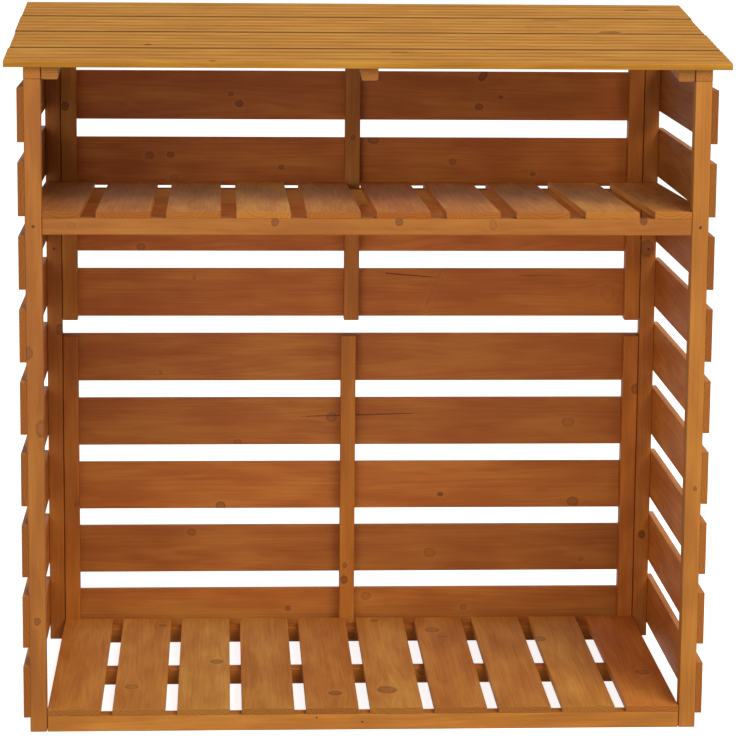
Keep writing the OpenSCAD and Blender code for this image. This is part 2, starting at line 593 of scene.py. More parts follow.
def figure(tree: Tree, place: Socket, waves: tuple[float, float], detail: float = 2.0,
           rough: float = 0.5, out: int = 0) -> Socket:
    """Draws a figure in the wood that is stretched along the grain.

    Args:
        tree: the material's tree.
        place: place in the tree.
        waves: how many there are to a metre along the grain and across it.
        detail: how many finer waves lie on them.
        rough: how strong those are.
        out: 0 for one value, 1 for three that differ.

    Returns:
        The figure, about one half on the whole.
    """
    along, across = waves
    at = add(tree, "VectorMath", {0: place, 1: (along, across, across)}, operation="MULTIPLY")
    return add(tree, "TexNoise", {"Vector": at, "Scale": 1.0, "Detail": detail,
                                  "Roughness": rough}, out)


def knot_group() -> Tree:
    """Makes the node group that draws one knot and bends the grain round it.

    Its input is the place from the knot, along and across, and the knot's radius r.  The
    grain flows round the knot as water round a post: a fibre at distance a across shifts by
    a r^2 / max(d^2, r^2), where d is the distance with the length squeezed, and this fades
    out between 2 and 4.5 radii.  Body is 1 inside the knot, Rim is 1 on its edge, Halo
    fades out over the wood beside it, and Whorl waves with the knot's own rings.

    Returns:
        The group's node tree.
    """
    tree = bpy.data.node_groups.new("knot", "ShaderNodeTree")
    tree.interface.new_socket("Place", in_out="INPUT", socket_type="NodeSocketVector")
    tree.interface.new_socket("Rough edge", in_out="INPUT", socket_type="NodeSocketFloat")
    for name in ("Bend", "Body", "Rim", "Halo", "Whorl"):
        tree.interface.new_socket(name, in_out="OUTPUT", socket_type="NodeSocketFloat")
    place, rough_edge, _ = add(tree, "NodeGroupInput").node.outputs
    _, dy, r = add(tree, "SeparateXYZ", {0: place}).node.outputs
    safe = add(tree, "Math", {0: r, 1: 1e-6}, operation="MAXIMUM")
    distances = []
    for squeeze in (FLOW_SQUEEZE, BODY_SQUEEZE):
        at = add(tree, "VectorMath", {0: place, 1: (squeeze, 1.0, 0.0)}, operation="MULTIPLY")
        far = add(tree, "VectorMath", {0: at}, "Value", operation="LENGTH")
        distances.append(add(tree, "Math", {0: far, 1: safe}, operation="DIVIDE"))
    far, plain = distances

    held = add(tree, "Math", {0: far, 1: 1.0}, operation="MAXIMUM")
    near = add(tree, "Math", {0: held, 1: -2.0}, operation="POWER")
    fade = add(tree, "MapRange", {0: far, 1: 4.5, 2: 2.0}, interpolation_type="SMOOTHSTEP")
    flow = add(tree, "Math", {0: near, 1: fade}, operation="MULTIPLY")
    bend = add(tree, "Math", {0: flow, 1: dy}, operation="MULTIPLY")

    d = add(tree, "Math", {0: plain, 1: rough_edge}, operation="MULTIPLY")
    off_rim = add(tree, "Math", {0: d, 1: 1.0}, operation="SUBTRACT")
    off_rim = add(tree, "Math", {0: off_rim}, operation="ABSOLUTE")
    rings = add(tree, "Math", {0: d, 1: 11.0}, operation="MULTIPLY")
    drawn = {"Bend": bend, "Whorl": add(tree, "Math", {0: rings}, operation="SINE")}
    for name, distance, none, full in (("Body", d, 1.2, 0.6), ("Rim", off_rim, 0.34, 0.0),
                                       ("Halo", d, 2.8, 1.0)):
        drawn[name] = add(tree, "MapRange", {0: distance, 1: none, 2: full},
                          interpolation_type="SMOOTHSTEP")
    add(tree, "NodeGroupOutput", drawn)
    return tree


@dataclass(frozen=True)
class StainedSoftwood:
    """Planed softwood, stained under one translucent honey-coloured coat.

    Planing leaves it satin and flat.  The soft early wood takes up more colour than the hard
    late wood, so rings read as faint stripes; open end grain takes up most and comes out
    duller, with its rings plain to see.
    """

    name: str
    early: str
    late: str
    red_heart: str
    sapwood: str
    end_early: str = "#9c5a1e"
    end_late: str = "#6c3a10"
    knot: tuple[tuple[str, float, str], ...] = (    # part, how much it covers, colour
        ("Halo", 0.18, "#c88430"), ("Heart", 0.85, "#642a0c"), ("Rim", 0.7, "#351606"))
    ragged: float = 190.0          # waves to a metre in a knot's edge
    ring_mm: float = 4.2           # growth of a plantation softwood in one year
    year_waves: float = 90.0       # runs of good and bad years to a metre
    ring_waver: float = 2.2        # how many years a run of good or bad ones shifts a ring
    late_share: float = 0.42
    streak: float = 0.13
    blotch: float = 0.6
    wander_mm: float = 14.0        # how far the tree's middle strays as it grows
    wander_waves: tuple[float, float] = (2.6, 11.0)
    patch_waves: tuple[float, float] = (6.0, 26.0)
    streak_waves: tuple[float, float] = (7.0, 210.0)       # about 5 mm wide
    fibre_waves: tuple[float, float] = (22.0, 640.0)       # about 1.5 mm wide
    roughness: float = 0.55
    end_rough: float = 0.25        # how much rougher the open end grain is
    gloss: float = 0.28
    relief_mm: float = 0.10        # height of the late wood's ridges after planing

    def material(self, knots: Tree) -> Material:
        """Builds the solid wood pattern.

        Args:
            knots: the node group that draws one knot.

        Returns:
            The material.
        """
        material, tree = blank_material(self.name)
        grain, end, tone_and_painted_shade = (add(tree, "Attribute", out="Vector", attribute_name=name)
                            for name in ("grain", "endgrain", "tone_and_painted_shade"))
        end = add(tree, "SeparateXYZ", {0: end})
        marks = self.marks(tree, grain, knots)
        place, late = self.rings(tree, grain, marks["Bend"])
        streak = figure(tree, place, self.streak_waves, detail=3.0, rough=0.6)
        fibre = figure(tree, place, self.fibre_waves)

        colour = self.face_colour(tree, grain, late, streak, fibre)
        knotted = [(add(tree, "Math", {0: marks[part], 1: cover}, operation="MULTIPLY"),
                    linear(paint)) for part, cover, paint in self.knot]
        cut = coats(tree, linear(self.end_early), [(late, linear(self.end_late))])
        colour = coats(tree, colour, [*knotted, (end, cut)])
        # the look's colour gain times the painted shade, where a stick has one
        colour = add(tree, "VectorMath", {0: colour, 1: tone_and_painted_shade}, operation="MULTIPLY")

        rough = add(tree, "MapRange", {0: streak, 1: 0.3, 2: 0.7, 3: self.roughness - 0.06,
                                       4: self.roughness + 0.08})
        rough = add(tree, "Math", {0: end, 1: self.end_rough, 2: rough}, operation="MULTIPLY_ADD",
                    use_clamp=True)
        ridge = add(tree, "Math", {0: late, 1: fibre}, operation="ADD")
        height = add(tree, "Math", {0: ridge, 1: self.relief_mm * MM}, operation="MULTIPLY")
        bump = add(tree, "Bump", {"Strength": 1.0, "Distance": 1.0, "Height": height})
        shader = add(tree, "BsdfPrincipled", {
            "Base Color": colour, "Roughness": rough, "IOR": 1.5,
            "Specular IOR Level": self.gloss, "Normal": bump})
        add(tree, "OutputMaterial", {0: shader})
        return material

    def marks(self, tree: Tree, grain: Socket, knots: Tree) -> dict[str, Socket]:
        """Joins a face's knots: their bends add up, the strongest of the rest wins.

        Args:
            tree: the material's tree.
            grain: place in the tree.
            knots: the node group that draws one knot.

        Returns:
            The joined outputs by name.
        """
        ragged = add(tree, "TexNoise", {"Vector": grain, "Scale": self.ragged, "Detail": 1.0})
        edge = add(tree, "MapRange", {0: ragged, 3: 0.75, 4: 1.25})
        dark = add(tree, "Attribute", out="Vector", attribute_name="knot_dark")
        dark = add(tree, "SeparateXYZ", {0: dark}).node.outputs
        joined: dict[str, Socket] = {}
        for i in range(KNOTS_PER_FACE):
            place = add(tree, "Attribute", out="Vector", attribute_name=f"knot_{i + 1}")
            knot = add(tree, "Group", {"Place": place, "Rough edge": edge},
                       node_tree=knots).node.outputs
            heart = add(tree, "MapRange", {0: knot["Whorl"], 1: -1.0, 3: 0.75, 4: 0.95})
            heart = add(tree, "Math", {0: heart, 1: knot["Body"]}, operation="MULTIPLY")
            core = add(tree, "Math", {0: dark[i], 1: 1.7}, operation="POWER")
            heart = add(tree, "Math", {0: heart, 1: core}, operation="MULTIPLY")
            bark = add(tree, "Math", {0: dark[i], 1: knot["Rim"]}, operation="MULTIPLY")
            found = {"Bend": knot["Bend"], "Heart": heart, "Rim": bark, "Halo": knot["Halo"]}
            for key, value in found.items():
                if key in joined:
                    value = add(tree, "Math", {0: joined[key], 1: value},
                                operation="ADD" if key == "Bend" else "MAXIMUM")
                joined[key] = value
        return joined

    def rings(self, tree: Tree, grain: Socket, bend: Socket) -> tuple[Socket, Socket]:
        """Draws yearly rings round the wandering middle of the tree.

        Args:
            tree: the material's tree.
            grain: place in the tree.
            bend: how far the grain is pushed aside.

        Returns:
            The place in the straightened tree, and how far a point is into late wood.
        """
        wander = figure(tree, grain, self.wander_waves, out=1)
        wander = add(tree, "VectorMath", {0: wander, 1: (0.5, 0.5, 0.5)},
                     operation="SUBTRACT")
        wander = add(tree, "VectorMath", {0: wander, "Scale": self.wander_mm * MM},
                     operation="SCALE")
        place = add(tree, "VectorMath", {0: grain, 1: wander}, operation="ADD")
        aside = add(tree, "CombineXYZ", {1: bend})
        place = add(tree, "VectorMath", {0: place, 1: aside}, operation="SUBTRACT")
        flat = add(tree, "VectorMath", {0: place, 1: (0.0, 1.0, 1.0)}, operation="MULTIPLY")
        radius = add(tree, "VectorMath", {0: flat}, "Value", operation="LENGTH")
        years = add(tree, "TexNoise", {"W": radius, "Scale": self.year_waves, "Detail": 1.0},
                    noise_dimensions="1D")
        ring = add(tree, "Math", {0: radius, 1: 1 / (self.ring_mm * MM)},
                   operation="MULTIPLY")
        ring = add(tree, "Math", {0: years, 1: self.ring_waver, 2: ring},
                   operation="MULTIPLY_ADD")
        ring = add(tree, "Math", {0: ring}, operation="FRACT")
        late = add(tree, "ValToRGB", {0: ring})
        ramp = late.node.color_ramp
        ramp.interpolation = "B_SPLINE"
        ramp.elements[1].color = (0.0, 0.0, 0.0, 1.0)
        for position, value in ((0.45, 0.12), (0.82, 1.0)):
            ramp.elements.new(position).color = (value, value, value, 1.0)
        return place, late

    def face_colour(self, tree: Tree, grain: Socket, late: Socket, streak: Socket,
                    fibre: Socket) -> Socket:
        """Stains the rings, with soft patches of red heartwood and pale sapwood, and fibres.

        Args:
            tree: the material's tree.
            grain: place in the tree.
            late: share of late wood.
            streak: streaks.
            fibre: fibres.

        Returns:
            The colour.
        """
        patch = figure(tree, grain, self.patch_waves)
        share = add(tree, "Math", {0: late, 1: self.late_share}, operation="MULTIPLY")
        layers = [(share, linear(self.late))]
        for low, high, paint in ((0.45, 0.68, self.red_heart), (0.5, 0.32, self.sapwood)):
            share = add(tree, "MapRange", {0: patch, 1: low, 2: high, 4: self.blotch},
                        interpolation_type="SMOOTHSTEP")
            layers.append((share, linear(paint)))
        colour = coats(tree, linear(self.early), layers)
        depth = add(tree, "Math", {0: fibre, 1: 0.5, 2: streak}, operation="MULTIPLY_ADD")
        depth = add(tree, "MapRange", {0: depth, 1: 0.45, 2: 1.05, 3: 1 + self.streak,
                                       4: 1 - self.streak})
        return add(tree, "VectorMath", {0: colour, "Scale": depth}, operation="SCALE")


@dataclass(frozen=True)
class ScrewSteel:
    """Dark-passivated carbon steel, cold-headed: satin, with a dark film in patches.  Its dark
    brown is partly the steel's own and partly painted shade of the hole round each head.
    """

    name: str = "screw_steel"
    # dark brown: partly the steel's own colour, partly painted shade of the screw holes
    colour: str = "#6a4630"
    film: str = "#33200f"
    roughness: float = 0.42
    patches: float = 900.0         # to a metre, so about a millimetre each

    def material(self) -> Material:
        """Builds the metal with a faint mottling of its film.

        Returns:
            The material.
        """
        material, tree = blank_material(self.name)
        place = add(tree, "TexCoord", out="Object")
        mottle = add(tree, "TexNoise", {"Vector": place, "Scale": self.patches, "Detail": 2.0})
        colour = coats(tree, linear(self.colour), [(mottle, linear(self.film))])
        rough = add(tree, "MapRange", {0: mottle, 3: self.roughness - 0.1,
                                       4: self.roughness + 0.1})
        shader = add(tree, "BsdfPrincipled", {"Base Color": colour, "Roughness": rough,
                                              "Metallic": 1.0})
        add(tree, "OutputMaterial", {0: shader})
        return material


BOARD_WOOD = StainedSoftwood("stained_softwood_boards", "#b9702a", "#985319", "#a2581a",
                             "#c27f33", end_early="#98561a", end_late="#743f10")
BATTEN_WOOD = StainedSoftwood("stained_softwood_battens", "#b47023", "#985716", "#9f5e1a",
                              "#be7d2e", end_early="#a8692a", end_late="#8e5820")
ROOF_WOOD = StainedSoftwood("stained_softwood_roof", "#bb7f2d", "#9c651d", "#a86f23",
                            "#c08a35", gloss=0.05, late_share=0.6)


# ---------------------------------------------------------------- the store's parts


def look(light: float, red: float, *knots: tuple[float, ...]) -> Look:
    """A look with all its knots, each given as a Knot's values."""
    return Look(light, red, tuple(Knot(*values) for values in knots))


def numbered(row: str, *looks: Look) -> dict[str, Look]:
    """Looks of the numbered sticks of a row, from the first on."""
    return {f"{row}_{i}": each for i, each in enumerate(looks, 1)}


LOOKS: dict[str, Look] = {
    "left_front_post": look(-0.25, 0.9, (194, 0, 5, 0.8), (526, 13, 11), (654, -12, 8, 0.7)),
    "right_front_post": look(-0.07, 0.0, (420, 3, 3, 0.9)),
    "left_rear_post": look(-0.11, 1.5, (595, 12, 8, 0.7)),
    "right_rear_post": look(-0.11, 1.4, (199, 0, 6, 1.0), (749, -3, 11, 0.6, 1.1)),
    "upper_back_batten_left": look(0.15, 0.5, (399, -6, 6, 1.0)),
    "upper_back_batten_middle": look(0.0, 0.6, (343, 1, 4, 0.8)),
    "upper_back_batten_right": look(0.0, 1.8),
    "lower_back_batten_left": look(-0.07, 1.6, (262, 9, 4)),
    "lower_back_batten_middle": look(0.05, 0.7, (113, -5, 6, 0.9), (141, -4, 4, 0.8)),
    "lower_back_batten_right": look(0.0, 1.8, (481, 10, 7, 0.7)),
    **numbered(
        "lower_back_board",
        look(0.0, 0.5, (599, 29, 7, 0.5), (450, 5, 4.5, 0.8), (786, 6, 5)),
        look(-0.18, 0.8, (267, 32, 6), (720, -10, 8, 0.4), (1010, -24, 3.5)),
        look(0.02, 0.7, (322, -40, 7, 0.8), (739, -19, 4, 1.0), (992, -34, 8, 0.65)),
        look(-0.13, 0.9, (531, 8, 8, 0.65), (980, -3, 7, 0.45, 1.3), (355, -42, 6),
             (585, 12, 1.2, 1.1, 70, 1.5)),
        look(-0.05, 0.8, (210, -30, 3))),
    **numbered(
        "upper_back_board",
        look(0.04, 1.2, (273, 28, 5, 0.5, 0.5), (721, 8, 3.6, 0.3, 8, 68),
             (1050, -1, 14, 0.2, 0.7), (649, 35, 1.1, 1.2, 58, -5.0),
             (838, 31, 0.8, 0.9, 124, 1.0)),
        look(0.15, 1.3, (174, -38, 6)),
        look(0.13, 1.3, (191, 11, 6, 0.7), (229, 12, 5, 0.8), (236, -32, 6, 0.4),
             (286, -25, 3, 0.9), (435, -11, 4, 0.8), (606, 42, 8, 0.7), (754, 0, 5),
             (904, -22, 4, 0.8)),
        look(0.04, 1.5, (341, 2, 4, 0.8), (357, -16, 5.5, 0.9), (802, -20, 5.5, 0.8),
             (809, 38, 6, 0.9, 1.5, 60), (843, -2, 3, 1.0))),
    "floor_front_rail": look(0.0, -0.1, (457, 8, 1.4, 1.2), (535, 0, 1.7, 1.2)),
    "floor_middle_rail": look(-0.04, 1.4, (655, 8, 6, 0.8)),
    "floor_rear_rail": look(-0.04, 1.4, (540, -3, 6, 0.8)),
    "shelf_front_rail": look(-0.27, 1.0, (48, 2, 5, 0.4), (384, 8, 6, 0.8, 0.8),
                             (590, 9, 6, 0.85, 0.8), (746, 4, 8, 0.4, 0.6, 10),
                             (998, 11, 6, 0.95, 0.8)),
    # the floor slats are lighter partly by their own colour and partly as painted light on their
    # tops
    **numbered(
        "floor_slats", look(0.2, -1.2),
        look(0.28, -1.7, (130, 16, 10), (517, -30, 7, 0.7)),
        look(0.36, -2.7, (280, -22, 10, 0.75)), look(0.18, -1.8),
        look(0.08, -0.7, (85, -8, 10, 0.8)),
        look(0.28, -1.9, (102, 11, 15, 0.8), (545, 10, 6, 0.8)),
        look(0.12, -0.7, (479, 15, 12), (433, -2, 7)), look(0.18, -1.2),
        look(0.37, -2.0, (414, 41, 12, 0.7)), look(0.3, -0.1, (198, -11, 11, 0.7))),
    # the shelf slats are lighter partly by their own colour and partly as painted light against
    # the shade under the roof
    **numbered(
        "shelf_slats", Look(-0.03, -0.1), Look(0.07, 0.3), Look(0.3, -0.5), Look(0.64, -1.8),
        Look(0.25, -0.2), Look(0.1, 1.2), Look(0.25, 0.1), Look(0.19, 0.0),
        look(0.56, -1.6, (420, 20, 14, 0.15)), Look(0.5, -1.2)),
    # the right side slats are lighter partly by their own colour and partly as painted light,
    # most on the upper ones that the shelf and roof shade
    **numbered(
        "right_side_slats", Look(0.18, -0.2), Look(0.24, -0.3), Look(0.3, -0.8),
        Look(0.35, -1.0), look(0.25, -0.8, (470, 10, 5, 0.8)), Look(0.0, 0.3)),
    "right_side_slats_9": Look(-0.16, 0.3),
    **numbered(
        "roof_board",
        look(0.0, 0.0, (652, 33, 6, 0.6, 1.6), (341, -52, 5, 0.9)),
        look(0.0, 0.0, (230, -46, 5, 1.0, 1.6), (974, -47, 3, 1.0), (790, 5, 4, 0.4, 3)),
        look(0.0, 0.0, (298, -49, 6, 0.8, 6), (943, 60, 5, 0.8, 5), (915, -9, 5, 0.5, 4),
             (1032, -62, 8, 0.9, 1.8)),
        look(0.0, 0.0, (1111, 15, 6, 0.8, 3))),
}


def corners_of(node: str) -> tuple[Array, Array]:
    """Lowest and highest corner of a node, as arrays."""
    low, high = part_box(node)
    return np.array(low), np.array(high)


def middle_of(node: str) -> Array:
    """Middle of a node's box."""
    low, high = corners_of(node)
    return (low + high) / 2


def row_of(node: str, axis: int, count: int) -> Array:
    """Places of a row of boards that fills a node's box.

    Args:
        node: the node.
        axis: number of the axis that the row follows.
        count: how many boards.

    Returns:
        The middles of the boards along that axis, from the lowest up.
    """
    low, high = corners_of(node)
    half = BOARD.width / 2
    return np.linspace(low[axis] + half, high[axis] - half, count)


@dataclass
class Part:
    """A sub-assembly: who makes its sticks, and the finishes they get."""

    carpenter: Carpenter
    woods: dict[Slot, Material]

    def put(self, node: str, sticks: Sequence[Stick], slot: Slot = Slot.BATTENS) -> None:
        """Makes the piece that stands for a node."""
        self.carpenter.piece(node, sticks, self.woods[slot], slot)

    def straight(self, node: str, along: Array, across: Array, timber: Timber,
                 section: Array | None = None) -> None:
        """Builds the one stick that fills a node's box from end to end.

        Args:
            node: the node.
            along: axis of the grain.
            across: axis of the width.
            timber: what it is cut from.
            section: section corners, where it isn't a plain rectangle.
        """
        low, high = corners_of(node)
        start = np.where(along > 0, low, (low + high) / 2)
        size = ((high - low) @ along, timber.width, timber.thick)
        stick = self.carpenter.stick(node, start, along, across, size, timber.ease,
                                     section=section)
        self.put(node, [stick], timber.slot)

    def row(self, node: str, across: Array, count: int) -> None:
        """Builds a row of boards that run to the back.

        Args:
            node: the node.
            across: direction of their width, which the row follows.
            count: how many boards.
        """
        low, high = corners_of(node)
        axis = int(np.argmax(np.abs(across)))
        start = (low + high) / 2
        start[1] = low[1]
        size = (high[1] - low[1], BOARD.width, BOARD.thick)
        sticks = []
        for i, place in enumerate(row_of(node, axis, count), 1):
            start = start.copy()
            start[axis] = place
            sticks.append(self.carpenter.stick(f"{node}_{i}", start, Y, across, size,
                                               BOARD.ease))
        self.put(node, sticks, Slot.BOARDS)

    def sloping(self, name: str, middle: Array, angle: float, size: Size, ease: float, *,
                upright: bool = True, radius: Array | None = None) -> Stick:
        """Makes a stick that runs to the back and up by an angle.

        Args:
            name: the stick's name.
            middle: its middle.
            angle: how steeply it rises.
            size: length, width and thickness.
            ease: easing of its corners and ends.
            upright: whether its ends are cut upright and not square.
            radius: easing of each section corner, where they differ.

        Returns:
            The stick.
        """
        along, _ = slope(angle)
        lean = (0.0, math.tan(angle) if upright else 0.0)
        return self.carpenter.stick(name, middle - along * size[0] / 2, along, -X, size, ease,
                                    radius=radius, ends=(lean, lean))


@dataclass
class Corners(Part):
    """Four posts, with the sloping rails on top of each side's pair."""

    pitch: float = math.radians(6.1)

    def build(self) -> None:
        """Builds the posts and the top rails."""
        for row in ("front", "rear"):
            for side in ("left", "right"):
                self.post(f"{side}_{row}_post")
        for side in ("left", "right"):
            self.top_rail(f"{side}_top_rail")

    def post(self, node: str) -> None:
        """Builds one post, cut to the slope of the rail at its top.

        Args:
            node: the post's node.
        """
        _, high = corners_of(node)
        lean = math.tan(self.pitch)
        start = middle_of(node) * [1.0, 1.0, 0.0]
        size = (high[2] - BATTEN.width * lean / 2, BATTEN.width, BATTEN.thick)
        stick = self.carpenter.stick(node, start, Z, X, size, BATTEN.ease,
                                     ends=((0.0, 0.0), (0.0, lean)))
        self.put(node, [stick])

    def top_rail(self, node: str) -> None:
        """Builds one rail, whose ends are cut upright.

        Args:
            node: the rail's node.
        """
        _, run, rise = np.subtract(*corners_of(node)[::-1])
        c = math.cos(self.pitch)
        size = (run / c, BATTEN.width, (rise - run * math.tan(self.pitch)) * c)
        self.put(node, [self.sloping(node, middle_of(node), self.pitch, size, BOARD.ease)])


@dataclass
class Sides(Part):
    """Slats on the outer faces of the posts."""

    def build(self) -> None:
        """Builds both sides' slats."""
        for side in ("left", "right"):
            self.row(f"{side}_side_slats", Z, SIDE_SLATS)


@dataclass
class Back(Part):
    """Boards of the two back panels and the battens that hold them."""

    def build(self) -> None:
        """Builds each panel's boards from the ground up, then its battens."""
        for panel, count in BACK_BOARDS.items():
            for i in range(count):
                self.straight(f"{panel}_back_board_{i + 1}", X, Z, BOARD)
            for side in ACROSS:
                self.straight(f"{panel}_back_batten_{side}", Z, X, BATTEN)


@dataclass
class Floor(Part):
    """Slats laid front to back on three rails."""

    def build(self) -> None:
        """Builds the rails and the slats."""
        for row in ("front", "middle", "rear"):
            self.straight(f"floor_{row}_rail", X, Z, BATTEN)
        self.row("floor_slats", -X, LAYER_SLATS)


@dataclass
class Shelf(Part):
    """Slats on rails and bearers, falling a little to the back."""

    fall: float = math.radians(1.9)
    fit: float = 0.5 * MM          # room round a post in a slat's notch

    def build(self) -> None:
        """Builds the rails, whose top and bottom follow the fall, the bearers, the slats."""
        section = rectangle(BATTEN.width, BATTEN.thick)
        section[:, 0] += np.sign(section[:, 1]) * BATTEN.thick * math.tan(self.fall) / 2
        for row in ("front", "rear"):
            self.straight(f"shelf_{row}_rail", X, Z, BATTEN, section)
        for side in ("left", "right"):
            self.bearer(f"shelf_{side}_bearer")
        self.slats("shelf_slats")

    def size(self, node: str, timber: Timber) -> Size:
        """Length, width and thickness of a stick that fills a node from front to back."""
        c, (_, run, _) = math.cos(self.fall), np.subtract(*corners_of(node)[::-1])
        return (run / c, timber.width, timber.thick * c)

    def bearer(self, node: str) -> None:
        """Builds a bearer beside a side's slats."""
        self.put(node, [self.sloping(node, middle_of(node), -self.fall,
                                     self.size(node, BATTEN), BATTEN.ease)])

    def slats(self, node: str) -> None:
        """Builds the slats, the outer two cut out round the front posts.

        Args:
            node: the slats' node.
        """
        size = self.size(node, BOARD)
        sticks = []
        for i, x in enumerate(row_of(node, 0, LAYER_SLATS), 1):
            middle = np.array([x, *middle_of(node)[1:]])
            sticks.append(self.sloping(f"{node}_{i}", middle, -self.fall, size, BOARD.ease))
        for stick, outer in ((sticks[0], 1), (sticks[-1], -1)):
            stick.shell = self.notched(stick, size, outer)
        self.put(node, sticks, Slot.BOARDS)

    def notched(self, stick: Stick, size: Size, outer: int) -> Shell:
        """Shape of an outer slat: its plan outline, carried through its thickness.

        Args:
            stick: the slat.
            size: length, width and thickness.
            outer: 1 where the post stands at the across side, -1 at the other.

        Returns:
            The shell.
        """
        length, width, thick = size
        cut = BATTEN.width + 2 * self.fit
        near = outer * width / 2
        notch = near - outer * BATTEN.width
        plan = np.array([[0, -near], [0, notch], [cut, notch], [cut, near], [length, near],
                         [length, -near]])[::-outer]
        through = np.cross(stick.along, stick.across)
        return carried(plan, BOARD.ease, Sweep(thick, END_EASE * BOARD.ease),
                       stick.start - through * thick / 2,
                       np.stack([stick.along, stick.across, through]))


@dataclass
class Roof(Part):
    """Grooved boards across three battens, falling to the front."""

    pitch: float = math.radians(6.1)
    lands: tuple[int, ...] = (4, 5, 5, 5)
    groove_w: float = 8 * MM
    groove_depth: float = 3 * MM
    taper: float = 0.7             # width of a groove's floor, as a share of its mouth
    shoulder: float = 4 * MM       # rounding of a board's upper edges
    lower_ease: float = 1.2 * MM
    groove_ease: float = 1.8 * MM
    end_ease: float = 0.9 * MM
    groove_painted_shade: float = 0.57     # painted shade on a groove's floor, as a share of the colour
    joint_painted_shade: float = 0.16      # painted shade in the joint between two boards
    joint_depth: float = 0.7 * MM
    front_painted_shade: float = 0.86      # painted shade on the front board's edge
    shade_redness: tuple[float, float, float] = (1.0, 1.2, 1.45)   # powers of the share, which make the painted shade redder
    margin: float = 1 * MM         # beyond a rounding or a groove
    short: tuple[tuple[float, float], ...] = (      # mm, at the left and the right end
        (0.3, 0.5), (2.0, 1.2), (0.6, 2.6), (1.8, 0.4))
    batten_h: float = 22 * MM
    batten_radii: tuple[float, ...] = (4 * MM, 4 * MM, 1 * MM, 1 * MM)   # lower, then upper

    def build(self) -> None:
        """Builds the boards from the front edge up, then the battens."""
        for i in range(1, len(self.lands) + 1):
            self.board(f"roof_board_{i}", i)
        for side in ACROSS:
            self.batten(f"roof_batten_{side}")

    def length(self, node: str, thick: float) -> float:
        """Length up the slope of a node with square ends and this thickness."""
        low, high = corners_of(node)
        return (high[1] - low[1] - thick * math.sin(self.pitch)) / math.cos(self.pitch)

    def section(self, width: float, lands: int) -> tuple[Array, Array]:
        """Section of a board with grooves between its lands.

        Args:
            width: the board's width.
            lands: how many lands it has.

        Returns:
            Corners and the easing of each.
        """
        half, top = width / 2, BOARD.thick / 2
        middles = width * np.arange(lands - 1, 0, -1) / lands - half
        g, floor = self.groove_w / 2, top - self.groove_depth
        offset = np.array([[g, top], [g * self.taper, floor], [-g * self.taper, floor],
                           [-g, top]])
        groove = np.tile(offset, (lands - 1, 1))
        groove[:, 0] += np.repeat(middles, 4)
        corners = np.concatenate([[[-half, -top], [half, -top], [half, top]], groove,
                                  [[-half, top]]])
        radius = np.full(len(corners), self.groove_ease)
        radius[[0, 1]] = self.lower_ease
        radius[[2, -1]] = self.shoulder
        return corners, radius

    def board(self, node: str, i: int) -> None:
        """Builds one grooved board, a little short at its ends.

        Args:
            node: the board's node.
            i: its number from the front, starting at 1.
        """
        low, high = corners_of(node)
        width = self.length(node, BOARD.thick)
        section, radius = self.section(width, self.lands[i - 1])
        left, right = (gap * MM for gap in self.short[i - 1])
        start = np.array([low[0] + left, *middle_of(node)[1:]])
        size = (high[0] - low[0] - left - right, width, BOARD.thick)
        stick = self.carpenter.stick(node, start, X, slope(self.pitch)[0], size,
                                     self.end_ease, section=section, radius=radius)
        # painted shade: darker in the grooves and joints and on the front edge
        stick.shade = self.painted_shade(stick.shell.points - start, width, i)
        self.put(node, [stick], Slot.ROOF)

    def painted_shade(self, away: Array, width: float, i: int) -> Array:
        """Works out the painted shade: darker in the grooves, between two boards and on the front
        edge.

        The share falls in a straight line with depth, from 1 at the top face to the
        groove's painted shade on its floor, and to the joint's painted shade at the joint's
        depth.  This painted shade is redder too: green and blue take the share to a power.  The
        roof's front edge is evenly darker, as painted shade.

        Args:
            away: points seen from the middle of the board's start.
            width: the board's width.
            i: the board's number from the front, starting at 1.

        Returns:
            The factors on red, green and blue at each point.
        """
        up, square = slope(self.pitch)
        side, depth = away @ up, BOARD.thick / 2 - away @ square
        edge = np.abs(side) > width / 2 - self.shoulder - self.margin
        joined = np.where(side > 0, i < len(self.lands), i > 1)
        groove, joint, front = (
            1 - (1 - shade) * np.clip(depth / full, 0, 1)
            for shade, full in ((self.groove_painted_shade, self.groove_depth),
                                (self.joint_painted_shade, self.joint_depth),
                                (self.front_painted_shade, self.shoulder)))
        under = depth > self.groove_depth + self.margin
        # painted shade: the joint's at joined edges, the groove's on the top
        share = np.where(edge, np.where(joined, joint, 1), np.where(under, 1, groove))
        # painted shade on the roof's front edge
        front_shaded = np.where(edge & ~joined, front, 1)
        return front_shaded[:, None] * share[:, None] ** np.array(self.shade_redness)

    def batten(self, node: str) -> None:
        """Builds one batten under the boards, its lower corners well rounded.

        Args:
            node: the batten's node.
        """
        size = (self.length(node, self.batten_h), BATTEN.width, self.batten_h)
        self.put(node, [self.sloping(node, middle_of(node), self.pitch, size, BATTEN.ease,
                                     upright=False, radius=np.array(self.batten_radii))])


